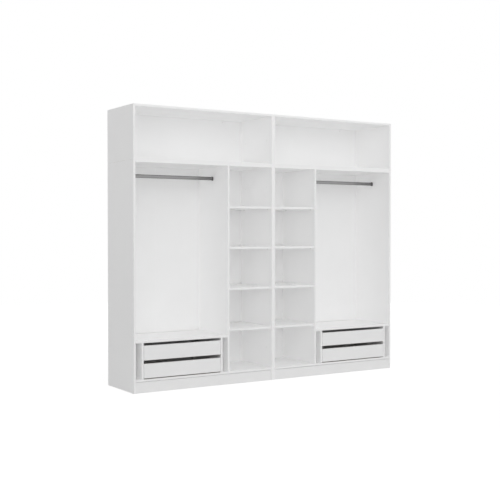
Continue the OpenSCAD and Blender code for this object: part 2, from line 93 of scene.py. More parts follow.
# Banded and sawn sides of the boards that stand and of those that lie
UPRIGHT = (("-y",), ("+y", "-z", "+z"))
LEVEL = (("-y",), ("+y", "-x", "+x"))
# Material places on a board: 0 for its faces, then its bands, its sawn edges and glue lines
BAND, SAWN, GLUE = 1, 2, 3
# Room around a seated piece, reach of a cutter past a face, distance at which points merge
CLEARANCE, PAST, SAME = 0.2 * MM, 1 * MM, 0.01 * MM
THREAD_PITCH = 1.6 * MM
# Thickness of the wall brackets
SHEET_T = 2 * MM
slot_colors = {m["slot"]: m["base_color"][:3] for m in frame["record"]["materials"]}


# Sizes and colours that a user would change

def color_prop(name, what, default):
    return FloatVectorProperty(name=name + " colour", description="Colour of " + what,
                               subtype="COLOR", size=3, min=0, max=1, default=default)


def grey_prop(name, what, value):
    """A colour without a hue"""
    return color_prop(name, what, (value, value, value))


def length_prop(name, description, default):
    """A length. Its default is given in millimetres."""
    return FloatProperty(name=name, description=description, unit="LENGTH",
                         default=default * MM)


def angle_prop(name, description, default):
    """An angle. Its default is given in degrees."""
    return FloatProperty(name=name, description=description, unit="ROTATION",
                         default=math.radians(default))


def amount_prop(name, description, default):
    return FloatProperty(name=name, description=description, min=0, default=default)


class BoardSettings(PropertyGroup):
    """Boards, edge bands and back panels"""
    color: grey_prop("Board", "the melamine faces", 0.97)
    band_color: grey_prop("Band", "the bands on the boards' edges", 0.89)
    # The front colour is darker than the board white and paints shade on the drawer fronts and plinths
    front_color: grey_prop("Front", "the drawer fronts and plinths", 0.85)
    back_color: grey_prop("Back", "the lacquer on the back panels", 0.925)
    drawer_color: color_prop("Drawer", "the drawers' walls and bottoms",
                             slot_colors["white_drawer"])
    sawn_color: color_prop("Sawn edge", "the bare particleboard", (0.42, 0.29, 0.17))
    fibre_color: color_prop("Fibreboard", "the fibreboard's bare side", (0.27, 0.165, 0.09))
    glue_color: color_prop("Glue line", "the line where a band meets a face",
                           (0.55, 0.54, 0.51))
    band_t: length_prop("Edge band", "Thickness of the bands on visible edges", 1)
    glue_w: length_prop("Glue line", "Width of the line where a band meets a face", 0.12)
    edge_radius: length_prop("Edge radius", "Radius of the boards' edges", 0.9)
    plinth_gap: length_prop("Plinth gap", "Joint between a plinth and the floor board", 3.5)
    drawer_gap: length_prop("Drawer gap", "Added to the gap under a lower drawer's front", 1.5)
    panel_radius: length_prop("Panel edge radius", "Radius of panels' and drawer bottoms' edges",
                              0.25)


class FittingSettings(PropertyGroup):
    """Metal and plastic fittings"""
    zinc_color: color_prop("Zinc", "zinc plated steel", slot_colors["zinc"])
    rod_color: color_prop("Rod", "the hanging rods", slot_colors["rod_steel"])
    plastic_color: grey_prop("Plastic", "strips, caps and glides", 0.93)
    pin_color: color_prop("Shelf pin", "the bright plated shelf pins", (0.8, 0.8, 0.79))
    beech_color: color_prop("Beech", "the dowels", slot_colors["beech"])
    small_radius: length_prop("Fitting edge radius", "Radius of the runners' edges", 0.25)
    cap_rim: length_prop("Cap rim", "Reach of a bolt cap beyond the bolt's head", 0.6)
    cap_dome: length_prop("Cap dome", "Height of a bolt cap above the bolt's head", 0.9)
    nail_d: length_prop("Nail head", "Diameter of the nail heads on the back panels", 4.5)
    nail_h: length_prop("Nail head height", "Height of a nail head above the panel", 0.5)
    nail_pitch: length_prop("Nail spacing", "Largest distance between nails in a row", 150)
    screw_d: length_prop("Runner screw head", "Diameter of the runner screws' heads", 7)
    screw_h: length_prop("Runner screw height", "Height of a drawer rail's screw heads", 1.8)
    flat_screw_h: length_prop("Flat screw height", "Height of a cabinet rail's screw heads", 0.3)


class StudioSettings(PropertyGroup):
    """Floor, lamps and camera. A lamp of strength 1 renders a white surface white"""
    ambient: amount_prop("Ambient light", "Strength of the light from all around", 0.468)
    key: amount_prop("Key light", "Strength of the lamp behind the camera", 0.184)
    key_turn: angle_prop("Key direction", "Turn of the key lamp from front to right", -32)
    key_height: angle_prop("Key height", "Angle of the key lamp above the horizon", 2)
    key_spread: angle_prop("Key spread", "Angle that the key lamp spans", 60)
    fill: amount_prop("Fill light", "Strength of the broad lamp on the right", 0.408)
    fill_turn: angle_prop("Fill direction", "Turn of the fill lamp from front to right", 32)
    fill_height: angle_prop("Fill height", "Angle of the fill lamp above the horizon", 15)
    fill_spread: angle_prop("Fill spread", "Angle that the fill lamp spans", 140)
    bounces: IntProperty(
        name="Bounces", description="How often light may bounce between the boards", default=24)
    floor_color: grey_prop("Floor", "the floor", 0.83)
    floor_reach: length_prop("Floor reach", "Distance from the floor's middle to its rim", 9000)
    backdrop: FloatProperty(
        name="Backdrop share", description="Share of the plain backdrop in the floor's look",
        subtype="FACTOR", min=0, max=1, default=0.8)
    backdrop_glow: amount_prop("Backdrop glow", "Strength of the floor's backdrop", 1.15)
    fade_start: length_prop("Fade start", "Distance at which the floor starts to fade", 2500)
    camera_place: FloatVectorProperty(
        name="Camera place", description="Where the camera stands",
        subtype="TRANSLATION", unit="LENGTH", size=3, default=(-4.5308, -7.0892, 1.3189))
    camera_turn: angle_prop("Camera turn", "Turn of the camera to the right", 32.12)
    camera_tilt: angle_prop("Camera tilt", "Tilt of the camera, below zero when down", -1.166)
    lens: FloatProperty(
        name="Lens", description="Focal length for a square picture on a 36 mm sensor",
        unit="CAMERA", default=66.87)


def boards():
    return bpy.context.scene.wardrobe_boards


def fittings():
    return bpy.context.scene.wardrobe_fittings


# Shader nodes

def node(tree, kind, inputs=(), **settings):
    """Adds a node. Its inputs are values, or sockets that get linked."""
    made = tree.nodes.new(kind)
    for key, value in settings.items():
        setattr(made, key, value)
    for key, value in dict(inputs).items():
        if isinstance(value, bpy.types.NodeSocket):
            tree.links.new(value, made.inputs[key])
        else:
            made.inputs[key].default_value = value
    return made


def object_place(tree):
    return node(tree, "ShaderNodeTexCoord").outputs["Object"]


def noise(tree, place, scale, detail, roughness=0.5):
    inputs = {"Vector": place, "Scale": scale, "Detail": detail, "Roughness": roughness}
    return node(tree, "ShaderNodeTexNoise", inputs).outputs["Fac"]


def math_node(tree, operation, a, b):
    return node(tree, "ShaderNodeMath", {0: a, 1: b}, operation=operation).outputs[0]


def ramp(tree, value, low, high, out_low=0.0, out_high=1.0):
    """Maps a value from one range to another, clamped"""
    inputs = {"Value": value, "From Min": low, "From Max": high,
              "To Min": out_low, "To Max": out_high}
    return node(tree, "ShaderNodeMapRange", inputs).outputs["Result"]


def blend_color(tree, factor, first, second):
    first, second = (color if isinstance(color, bpy.types.NodeSocket) else (*color, 1)
                     for color in (first, second))
    inputs = {"Factor": factor, "A": first, "B": second}
    return node(tree, "ShaderNodeMix", inputs, data_type="RGBA").outputs["Result"]


def scaled(color, share):
    return tuple(share * channel for channel in color)


def once(store):
    """Makes a builder give the one thing of its own name, which is built at its first use"""
    def wrap(build):
        name = build.__name__
        return lambda: getattr(bpy.data, store).get(name) or build(name)
    return wrap


def new_group(name, inputs, outputs):
    """A node group with float sockets, and the values that are given to it"""
    tree = bpy.data.node_groups.new(name, "ShaderNodeTree")
    for way, labels in (("INPUT", inputs), ("OUTPUT", outputs)):
        for label in labels:
            tree.interface.new_socket(label, in_out=way, socket_type="NodeSocketFloat")
    return tree, tree.nodes.new("NodeGroupInput").outputs


@once("node_groups")
def surface_grain(name):
    """Slow tone changes over a sheet and the fine pressed grain of its skin"""
    tree, given = new_group(name, ("Tone Scale", "Grain Scale"), ("Tone", "Grain"))
    place = object_place(tree)
    tone = noise(tree, place, given["Tone Scale"], 3.0)
    grain = noise(tree, place, given["Grain Scale"], 2.0, 0.6)
    node(tree, "NodeGroupOutput", {"Tone": ramp(tree, tone, 0.3, 0.7),
                                   "Grain": ramp(tree, grain, 0.25, 0.75)})
    return tree


@once("node_groups")
def drawn_streaks(name):
    """Long fine streaks: scales are per metre along each axis"""
    tree, given = new_group(name, ("Scale X", "Scale Y", "Scale Z"), ("Streak", "Cloud"))
    place = object_place(tree)
    scale = node(tree, "ShaderNodeCombineXYZ", {axis: given[f"Scale {axis}"] for axis in "XYZ"})
    stretched = node(tree, "ShaderNodeVectorMath", {0: place, 1: scale.outputs[0]},
                     operation="MULTIPLY")
    streak = noise(tree, stretched.outputs[0], 1.0, 4.0)
    cloud = noise(tree, place, 9.0, 2.0)
    node(tree, "NodeGroupOutput", {"Streak": ramp(tree, streak, 0.3, 0.7),
                                   "Cloud": ramp(tree, cloud, 0.3, 0.7)})
    return tree


def placed(tree, group, *values):
    """Adds a node group with values for its inputs, and gives its outputs"""
    return node(tree, "ShaderNodeGroup", dict(enumerate(values)), node_tree=group).outputs


def start_material(name, color):
    """A material whose node tree is empty"""
    material = bpy.data.materials.new(name)
    material.diffuse_color = (*color, 1)
    material.use_nodes = True
    material.node_tree.nodes.clear()
    return material, material.node_tree


def finish_material(tree, color, rough, height, strength, depth, metallic=0.0):
    """Adds the shader with its colour, roughness and bump, and the output"""
    bump = node(tree, "ShaderNodeBump", {"Height": height, "Strength": strength, "Distance": depth})
    shader = node(tree, "ShaderNodeBsdfPrincipled",
                  {"Base Color": color, "Roughness": rough, "Metallic": metallic,
                   "Normal": bump.outputs[0]})
    node(tree, "ShaderNodeOutputMaterial", {"Surface": shader.outputs[0]})


# Materials

def skin(name, color, spread, tone_scale, grain_scale, rough, depth, strength=0.3):
    """A pale skin: melamine, band, lacquer, plastic or powder coat"""
    material, tree = start_material(name, color)
    grain = placed(tree, surface_grain(), tone_scale, grain_scale)
    tone = blend_color(tree, grain["Tone"], scaled(color, 1 - spread / 2),
                       scaled(color, 1 + spread / 2))
    finish_material(tree, tone, ramp(tree, grain["Grain"], 0, 1, *rough), grain["Grain"],
                    strength, depth)
    return material


def melamine(name, color):
    return skin(name, color, spread=0.012, tone_scale=5.0, grain_scale=900.0,
                rough=(0.34, 0.52), depth=0.05 * MM, strength=0.4)


def edge_band(name, color):
    return skin(name, color, spread=0.006, tone_scale=11.0, grain_scale=1600.0,
                rough=(0.3, 0.38), depth=0.012 * MM)


def lacquer(name, color):
    return skin(name, color, spread=0.018, tone_scale=4.0, grain_scale=420.0,
                rough=(0.42, 0.58), depth=0.05 * MM)


@once("materials")
def white_melamine(name):
    return melamine(name, boards().color)


# Melamine in the darker front white, which paints shade on the drawer fronts and plinths
@once("materials")
def front_melamine(name):
    return melamine(name, boards().front_color)


@once("materials")
def drawer_melamine(name):
    return melamine(name, boards().drawer_color)


@once("materials")
def white_edge_band(name):
    return edge_band(name, boards().band_color)


# Edge band in the darker front white, which paints shade on the fronts' and plinths' edges
@once("materials")
def front_edge_band(name):
    return edge_band(name, boards().front_color)


@once("materials")
def drawer_edge_band(name):
    return edge_band(name, boards().drawer_color)


@once("materials")
def white_lacquer(name):
    return lacquer(name, boards().back_color)


@once("materials")
def drawer_lacquer(name):
    return lacquer(name, boards().drawer_color)


@once("materials")
def white_moulded_plastic(name):
    return skin(name, fittings().plastic_color, spread=0.01, tone_scale=30.0,
                grain_scale=2200.0, rough=(0.4, 0.5), depth=0.015 * MM)


@once("materials")
def white_powder_coat(name):
    return skin(name, fittings().plastic_color, spread=0.01, tone_scale=40.0,
                grain_scale=1300.0, rough=(0.34, 0.46), depth=0.04 * MM, strength=0.5)


@once("materials")
def glue_line(name):
    return skin(name, boards().glue_color, spread=0.2, tone_scale=60.0,
                grain_scale=1500.0, rough=(0.55, 0.7), depth=0.02 * MM)


@once("materials")
def sawn_particleboard(name):
    """Pressed chips of several browns with small pits between them"""
    color = boards().sawn_color
    material, tree = start_material(name, color)
    place = object_place(tree)
    pits = noise(tree, place, 260.0, 3.0)
    chips = node(tree, "ShaderNodeTexVoronoi", {"Vector": place, "Scale": 520.0}).outputs
    tint = node(tree, "ShaderNodeSeparateColor", {0: chips["Color"]}).outputs[0]
    chip_color = blend_color(tree, tint, scaled(color, 0.72), scaled(color, 1.3))
    tone = blend_color(tree, ramp(tree, pits, 0.52, 0.68), chip_color, scaled(color, 0.38))
    height = math_node(tree, "SUBTRACT", pits, ramp(tree, chips["Distance"], 0.0, 0.75))
    finish_material(tree, tone, 0.88, height, strength=0.7, depth=0.3 * MM)
    return material


@once("materials")
def bare_fibreboard(name):
    """The bare side of a fibreboard panel: a brown felt of short fibres"""
    color = boards().fibre_color
    material, tree = start_material(name, color)
    streak = placed(tree, drawn_streaks(), 330.0, 330.0, 60.0)["Streak"]
    grain = placed(tree, surface_grain(), 7.0, 700.0)
    base = blend_color(tree, grain["Tone"], scaled(color, 0.86), scaled(color, 1.08))
    fibre = math_node(tree, "MULTIPLY", streak, 0.55)
    tone = blend_color(tree, fibre, base, scaled(color, 0.62))
    rough = ramp(tree, grain["Grain"], 0, 1, 0.6, 0.8)
    finish_material(tree, tone, rough, streak, strength=0.4, depth=0.08 * MM)
    return material


def drawn_metal(name, color, scales, rough, depth):
    """Metal with the fine lines of drawing or brushing"""
    material, tree = start_material(name, color)
    lines = placed(tree, drawn_streaks(), *scales)
    tone = blend_color(tree, lines["Streak"], scaled(color, 0.86), scaled(color, 1.06))
    fine = math_node(tree, "MULTIPLY", lines["Streak"], 0.6)
    wide = math_node(tree, "MULTIPLY", lines["Cloud"], 0.4)
    uneven = ramp(tree, math_node(tree, "ADD", fine, wide), 0, 1, *rough)
    finish_material(tree, tone, uneven, lines["Streak"], 0.3, depth, metallic=1.0)
    return material


def plain_metal(name, color, scale, rough, depth):
    """Cast, tumbled or plated metal, without a direction"""
    return drawn_metal(name, color, (scale, scale, scale), rough, depth)


@once("materials")
def satin_rod(name):
    return drawn_metal(name, fittings().rod_color, (14.0, 1500.0, 1500.0), (0.26, 0.4), 0.01 * MM)


@once("materials")
def dark_socket(name):
    return plain_metal(name, scaled(fittings().rod_color, 0.72), 400.0, (0.38, 0.55), 0.02 * MM)


@once("materials")
def zinc_plate(name):
    """Zinc plate drawn along the runners"""
    return drawn_metal(name, fittings().zinc_color, (900.0, 20.0, 900.0), (0.28, 0.46),
                       0.015 * MM)


@once("materials")
def cast_zinc(name):
    return plain_metal(name, scaled(fittings().zinc_color, 0.9), 420.0, (0.34, 0.52), 0.03 * MM)


@once("materials")
def bright_plate(name):
    return plain_metal(name, fittings().pin_color, 420.0, (0.3, 0.45), 0.02 * MM)


@once("materials")
def beech_dowel(name):
    """Plain beech with short pores"""
    color = fittings().beech_color
    material, tree = start_material(name, color)
    streak = placed(tree, drawn_streaks(), 90.0, 700.0, 700.0)["Streak"]
    tone = blend_color(tree, streak, scaled(color, 0.75), color)
    finish_material(tree, tone, 0.62, streak, strength=0.4, depth=0.08 * MM)
    return material


# Meshes

def solid_boxes(cad_node):
    """Lowest and highest corners of each separate solid of a CAD node"""
    mesh = bmesh.new()
    mesh.from_mesh(frame["nodes"][cad_node].data)
    bmesh.ops.remove_doubles(mesh, verts=mesh.verts, dist=SAME)
    left_over = set(mesh.verts)
    boxes = []
    while left_over:
        solid = [left_over.pop()]
        for vertex in solid:
            near = {edge.other_vert(vertex) for edge in vertex.link_edges} & left_over
            left_over -= near
            solid += near
        boxes.append([Vector(pick(vertex.co[axis] for vertex in solid) for axis in range(3))
                      for pick in (min, max)])
    mesh.free()
    return sorted(boxes, key=lambda box: [round(value, 4) for value in (*box[0], *box[1])])


def middle(box):
    return (box[0] + box[1]) / 2


def middle_of(cad_node):
    return middle(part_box(cad_node))


def body_of(cad_node):
    return frame["nodes"][cad_node]["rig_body"]


def merge(mesh, part):
    """Moves the faces of one bmesh into another"""
    data = bpy.data.meshes.new("part")
    part.to_mesh(data)
    part.free()
    mesh.from_mesh(data)
    bpy.data.meshes.remove(data)


def add_box(mesh, cuts):
    """A box whose faces are cut at the given places along each axis"""
    corners = {}
    for axis in range(3):
        u, v = (axis + 1) % 3, (axis + 2) % 3
        for end, i, j in product((0, -1), range(len(cuts[u]) - 1), range(len(cuts[v]) - 1)):
            ring = []
            for a, b in ((i, j), (i + 1, j), (i + 1, j + 1), (i, j + 1)):
                place = [0.0, 0.0, 0.0]
                place[axis], place[u], place[v] = cuts[axis][end], cuts[u][a], cuts[v][b]
                key = tuple(place)
                if key not in corners:
                    corners[key] = mesh.verts.new(key)
                ring.append(corners[key])
            mesh.faces.new(ring if end else ring[::-1])


def add_board(mesh, box, radius, banded=(), sawn=()):
    """A board with rounded edges, bands on the banded sides and bare sawn sides"""
    low, high = box
    band_t = boards().band_t
    glue_end = band_t + boards().glue_w
    part = bmesh.new()
    cuts = []
    for axis, letter in enumerate("xyz"):
        places = {low[axis], high[axis]}
        if "-" + letter in banded:
            places |= {low[axis] + band_t, low[axis] + glue_end}
        if "+" + letter in banded:
            places |= {high[axis] - band_t, high[axis] - glue_end}
        cuts.append(sorted(places))
    add_box(part, cuts)
    part.normal_update()
    rim = [edge for edge in part.edges if edge.calc_face_angle(0) > 1]
    bmesh.ops.bevel(part, geom=rim, offset=radius, offset_type="OFFSET", segments=3, profile=0.5,
                    affect="EDGES", clamp_overlap=False)
    part.normal_update()
    for face in part.faces:
        center = face.calc_center_median()
        for side in sawn:
            if face.normal.dot(DIRECTIONS[side]) > 0.8:
                face.material_index = SAWN
        for side in banded:
            end = low if side[0] == "-" else high
            depth = (end - center).dot(DIRECTIONS[side])
            if depth < band_t:
                face.material_index = BAND
            elif depth < glue_end:
                face.material_index = GLUE
    merge(mesh, part)


def add_ring(mesh, radius, height, segments):
    """Vertices in a circle about local Z, or one where the radius is nought"""
    if radius == 0:
        return [mesh.verts.new((0, 0, height))]
    angles = [2 * math.pi * i / segments for i in range(segments)]
    return [mesh.verts.new((radius * math.cos(a), radius * math.sin(a), height)) for a in angles]


def join_rings(mesh, rings, segments, smooth=True):
    for first, second in zip(rings, rings[1:]):
        for i in range(segments):
            j = (i + 1) % segments
            corners = [first[i % len(first)], first[j % len(first)],
                       second[j % len(second)], second[i % len(second)]]
            mesh.faces.new(list(dict.fromkeys(corners))).smooth = smooth


def finish_part(mesh, part, place):
    """Turns a closed part's faces outwards and puts it into the mesh at a matrix"""
    bmesh.ops.recalc_face_normals(part, faces=part.faces)
    part.transform(place)
    merge(mesh, part)


def add_turned(mesh, profile, place, segments):
    """Turns (radius, height) points about local Z and puts the closed body at a matrix"""
    part = bmesh.new()
    join_rings(part, [add_ring(part, *point, segments) for point in profile], segments)
    finish_part(mesh, part, place)


def add_bore(mesh, place, radius, start, end, segments=48):
    """A plain round cutter along local Z"""
    profile = [(0, start), (radius, start), (radius, end), (0, end)]
    add_turned(mesh, profile, place, segments)


def add_cross_head(mesh, place, radius, height, depth, arm=0.5, arm_w=0.2):
    """A round head with a cross recess in its top, which faces local +Z

    The arms of the cross are measured in shares of the radius.
    """
    part = bmesh.new()
    segments = 32
    rim = min(0.15 * radius, 0.6 * height)
    profile = [(0.96 * radius, 0.0), (radius, 0.25 * rim), (radius, height - rim),
               (radius - 0.3 * rim, height - 0.3 * rim), (radius - rim, height)]
    rings = [add_ring(part, *point, segments) for point in profile]
    part.faces.new(rings[0][::-1])
    join_rings(part, rings, segments)
    reach, half = arm * radius, arm_w * radius / 2
    quarter = [(reach, -half), (reach, half), (half, half)]
    outline = [(c * x - s * y, s * x + c * y)
               for c, s in ((1, 0), (0, 1), (-1, 0), (0, -1)) for x, y in quarter]
    mouth = [part.verts.new((x, y, height)) for x, y in outline]
    base = [part.verts.new((0.8 * x, 0.8 * y, height - depth)) for x, y in outline]
    count = len(outline)
    edges = [part.edges.new((mouth[i], mouth[(i + 1) % count])) for i in range(count)]
    top = rings[-1]
    edges += [part.edges.get((top[i], top[(i + 1) % segments])) for i in range(segments)]
    bmesh.ops.triangle_fill(part, use_beauty=True, use_dissolve=False, edges=edges)
    for i in range(count):
        j = (i + 1) % count
        part.faces.new((mouth[i], base[i], base[j], mouth[j]))
    part.faces.new(base)
    finish_part(mesh, part, place)


def facing(point, direction):
    """A matrix that puts local Z along a direction at a point"""
    turn = Vector(direction).to_track_quat("Z", "Y").to_matrix().to_4x4()
    return Matrix.Translation(point) @ turn


def linked(name, data):
    """An object of the scene that holds this data"""
    made = bpy.data.objects.new(name, data)
    bpy.context.scene.collection.objects.link(made)
    return made


def mesh_object(mesh, name, materials):
    """Turns a bmesh into an object of the scene"""
    data = bpy.data.meshes.new(name)
    mesh.to_mesh(data)
    mesh.free()
    for material in materials:
        data.materials.append(material)
    return linked(name, data)


def cut_away(piece, cutter):
    """Takes the cutter bmesh out of a piece"""
    for face in cutter.faces:
        face.material_index = SAWN
    tool = mesh_object(cutter, "cutter", piece.data.materials)
    modifier = piece.modifiers.new("cut", "BOOLEAN")
    modifier.operation = "DIFFERENCE"
    modifier.solver = "EXACT"
    modifier.object = tool
    bpy.context.view_layer.update()
    evaluated = piece.evaluated_get(bpy.context.evaluated_depsgraph_get())
    result = bpy.data.meshes.new_from_object(evaluated)
    piece.modifiers.clear()
    piece.data = result
    bpy.data.meshes.remove(tool.data)


def make_piece(mesh, name, materials, body, stands_for=None, cutter=None):
    """Turns a bmesh into a piece that rides on a body"""
    piece = mesh_object(mesh, name, materials)
    if cutter is not None:
        cut_away(piece, cutter)
    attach(piece, body)
    if stands_for:
        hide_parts(stands_for)


# Skin, edge band and record slot of each kind of board
PLAIN = (white_melamine, white_edge_band, "white_board")
# The fronts' skin and band are a darker copy of the board white, which paints shade on them
SHADED_FRONT = (front_melamine, front_edge_band, "white_front")
DRAWER = (drawer_melamine, drawer_edge_band, "white_drawer")


def dress_boards(cad_node, banded, sawn, kind=PLAIN, cutter=None, boxes=None, name=None):
    """Replaces a node of plain boards by boards with bands and sawn edges"""
    face, band, slot = kind
    mesh = bmesh.new()
    for box in boxes or solid_boxes(cad_node):
        add_board(mesh, box, boards().edge_radius, banded, sawn)
    make_piece(mesh, name or cad_node + "_boards",
               [face(), band(), sawn_particleboard(), glue_line()],
               body_of(cad_node), cad_node, cutter)


def dress_fronts(cad_node, banded, sawn, cutter=None, gap_above=0.0, gap_below=0.0):
    """Replaces drawer fronts or plinths, whose white is set darker than the boards' to paint shade on
    them, with room for a gap
    """
    above, below = Vector((0, 0, gap_above)), Vector((0, 0, gap_below))
    boxes = [(low + below, high - above) for low, high in solid_boxes(cad_node)]
    dress_boards(cad_node, banded, sawn, SHADED_FRONT, cutter, boxes)


def dress_panels(cad_node, bare, face, cutter=None):
    """Replaces a node of thin panels by panels with lacquered faces and bare sides"""
    mesh = bmesh.new()
    for box in solid_boxes(cad_node):
        add_board(mesh, box, boards().panel_radius, (), bare)
    make_piece(mesh, cad_node + "_panels", [face(), face(), bare_fibreboard(), face()],
               body_of(cad_node), cad_node, cutter)


def dress_fitting(cad_node, material, radius=0.0):
    """Gives a CAD node a material and slightly rounded edges"""
    piece = frame["nodes"][cad_node]
    for material_slot in piece.material_slots:
        material_slot.material = material
    if radius:
        weld = piece.modifiers.new("weld", "WELD")
        weld.merge_threshold = SAME
        rounding = piece.modifiers.new("rounding", "BEVEL")
        rounding.width = radius
        rounding.segments = 2
        rounding.limit_method = "ANGLE"
        rounding.angle_limit = math.radians(50)


# Operators, one for each group of like pieces

class Undoable:
    """Options that all the operators share"""
    bl_options = {"REGISTER", "UNDO"}


class WARDROBE_OT_cabinet_boards(Undoable, Operator):
    """Dress the sides, dividers, ceilings, floors and plinths of the base cabinets"""
    bl_idname = "wardrobe.cabinet_boards"
    bl_label = "Base cabinet boards"

    def execute(self, context):
        for module in MODULES:
            for name in ("outer_side", "inner_side", "divider"):
                dress_boards(f"{module}_{name}", *UPRIGHT)
            for name in ("ceiling", "floor"):
                dress_boards(f"{module}_{name}", *LEVEL)
            dress_fronts(f"{module}_plinth", ("+z",), ("-x", "+x", "-z"),
                         gap_above=boards().plinth_gap)
        return {"FINISHED"}


def is_cam(box):
    """Cams are as wide as they are deep, and their bolts are long along X"""
    size = box[1] - box[0]
    return abs(size.x - size.y) < 0.5 * MM


def cam_pocket_cutter(roof):
    """Cutters for the pockets of the cams in a roof board"""
    low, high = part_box(roof)
    cutter = bmesh.new()
    for cam in filter(is_cam, solid_boxes("cam_fittings")):
        if cam[0].z > low.z and low.x < cam[0].x and cam[1].x < high.x:
            place = Matrix.Translation((*middle(cam).xy, 0))
            radius = (cam[1].x - cam[0].x) / 2 + CLEARANCE
            add_bore(cutter, place, radius, cam[0].z - CLEARANCE, high.z + PAST)
    return cutter


class WARDROBE_OT_top_units(Undoable, Operator):
    """Dress the boards of the top units, with the cam pockets in the roofs"""
    bl_idname = "wardrobe.top_units"
    bl_label = "Top unit boards"

    def execute(self, context):
        for module in MODULES:
            dress_boards(f"{module}_top_unit_sides", ("-y", "+z"), ("+y", "-z"))
            dress_boards(f"{module}_top_unit_floor", *LEVEL)
            roof = f"{module}_top_unit_roof"
            dress_boards(roof, *LEVEL, cutter=cam_pocket_cutter(roof))
        return {"FINISHED"}


class WARDROBE_OT_shelves(Undoable, Operator):
    """Dress the shelves"""
    bl_idname = "wardrobe.shelves"
    bl_label = "Shelves"

    def execute(self, context):
        for module in MODULES:
            dress_boards(f"{module}_shelves", *LEVEL)
        return {"FINISHED"}


def wall_hole_cutter(box, thick, segments=48):
    """Cutters for the wall screws' holes within a box, as its mounts place them"""
    low, high = box
    cutter = bmesh.new()
    for mount in frame["record"]["mounts"]:
        x, _, z = mount["pos_m"]
        if mount["kind"] == "bolt_pattern" and low.x < x < high.x:
            half = mount["dims"]["spacing_x_mm"] / 2 * MM
            for hole_x in (x - half, x + half):
                add_bore(cutter, facing((hole_x, high.y, z), (0, -1, 0)),
                         mount["dims"]["hole_r_mm"] * MM, -PAST, thick + PAST, segments)
    return cutter


class WARDROBE_OT_back_panels(Undoable, Operator):
    """Dress the back panels, lacquered inside and bare outside, and the strips between them"""
    bl_idname = "wardrobe.back_panels"
    bl_label = "Back panels"

    def execute(self, context):
        bare = ("+y", "-x", "+x", "-z", "+z")
        for module in MODULES:
            dress_panels(f"{module}_back_panels", bare, white_lacquer)
            back = f"{module}_top_unit_back"
            low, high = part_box(back)
            cutter = wall_hole_cutter((low, high), high.y - low.y)
            dress_panels(back, bare, white_lacquer, cutter)
        dress_fitting("back_strips", white_moulded_plastic())
        return {"FINISHED"}


class WARDROBE_OT_drawer_inserts(Undoable, Operator):
    """Dress the boards that carry the drawers"""
    bl_idname = "wardrobe.drawer_inserts"
    bl_label = "Drawer inserts"

    def execute(self, context):
        for module in MODULES:
            dress_boards(f"{module}_insert_top", *LEVEL)
            dress_boards(f"{module}_insert_sides", *UPRIGHT)
        return {"FINISHED"}


def groove_cutter(drawer):
    """The drawer bottom, grown by its clearance, as a cutter that runs on to the rear"""
    low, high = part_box(drawer + "_bottom")
    high = high + Vector((0, PAST, 0))
    cutter = bmesh.new()
    add_box(cutter, [(low[i] - CLEARANCE, high[i] + CLEARANCE) for i in range(3)])
    return cutter


def dress_drawer_walls(drawer):
    """Side walls with a band on top, and the back between them"""
    cad_node = drawer + "_walls"
    center = middle_of(cad_node).x
    sides, backs = [], []
    for box in solid_boxes(cad_node):
        (backs if box[0].x < center < box[1].x else sides).append(box)
    dress_boards(cad_node, ("+z",), ("-y", "+y", "-z"), DRAWER, cutter=groove_cutter(drawer),
                 boxes=sides, name=drawer + "_side_walls")
    dress_boards(cad_node, ("+z",), ("-x", "+x", "-z"), DRAWER, boxes=backs,
                 name=drawer + "_back_wall")


class WARDROBE_OT_drawers(Undoable, Operator):
    """Dress the drawer fronts, walls and bottoms, with the grooves for the bottoms"""
    bl_idname = "wardrobe.drawers"
    bl_label = "Drawers"

    def execute(self, context):
        for drawer in DRAWERS:
            name = drawer + "_drawer"
            gap = boards().drawer_gap if "lower" in drawer else 0.0
            dress_fronts(name + "_front", ("-x", "+x", "+z"), ("-z",), groove_cutter(name),
                         gap_below=gap)
            dress_drawer_walls(name)
            dress_panels(name + "_bottom", ("-x", "+x", "-y", "+y"), drawer_lacquer)
        return {"FINISHED"}


def add_screws(rails, height):
    """Three screws in each rail's web, with their heads in the channel"""
    steel_t = 1.2 * MM
    mesh = bmesh.new()
    for low, high in solid_boxes(rails):
        inwards = channel_side(rails, low, high)
        web = low.x + steel_t if inwards > 0 else high.x - steel_t
        for share in (0.08, 0.5, 0.92):
            point = (web, low.y + share * (high.y - low.y), (low.z + high.z) / 2)
            add_cross_head(mesh, facing(point, (inwards, 0, 0)), fittings().screw_d / 2,
                           height, 0.8 * height, arm=0.6, arm_w=0.24)
    name = rails.removesuffix("s") + "_screws"
    make_piece(mesh, name, [cast_zinc()], body_of(rails))


def channel_side(rails, low, high):
    """Direction along X from a rail's flat web, which has most of its area, to its channel"""
    areas = [0.0, 0.0]
    for polygon in frame["nodes"][rails].data.polygons:
        co = polygon.center
        inside = all(low[i] - MM < co[i] < high[i] + MM for i in range(3))
        if inside and abs(polygon.normal.x) > 0.9:
            areas[co.x - low.x >= high.x - co.x] += polygon.area
    return 1 if areas[0] > areas[1] else -1


class WARDROBE_OT_runners(Undoable, Operator):
    """Dress the drawer runners and add their screws"""
    bl_idname = "wardrobe.runners"
    bl_label = "Drawer runners"

    def execute(self, context):
        settings = fittings()
        dress_fitting("cabinet_rails", zinc_plate(), settings.small_radius)
        add_screws("cabinet_rails", settings.flat_screw_h)
        for drawer in DRAWERS:
            dress_fitting(f"{drawer}_middle_rails", zinc_plate(), settings.small_radius)
            rails = f"{drawer}_drawer_rails"
            dress_fitting(rails, zinc_plate(), settings.small_radius)
            add_screws(rails, settings.screw_h)
        return {"FINISHED"}


class WARDROBE_OT_hanging_rods(Undoable, Operator):
    """Dress the hanging rods and their sockets"""
    bl_idname = "wardrobe.hanging_rods"
    bl_label = "Hanging rods"

    def execute(self, context):
        rod_edge, socket_edge = 0.2 * MM, 0.3 * MM
        for module in MODULES:
            dress_fitting(f"{module}_rod", satin_rod(), rod_edge)
        dress_fitting("rod_sockets", dark_socket(), socket_edge)
        return {"FINISHED"}


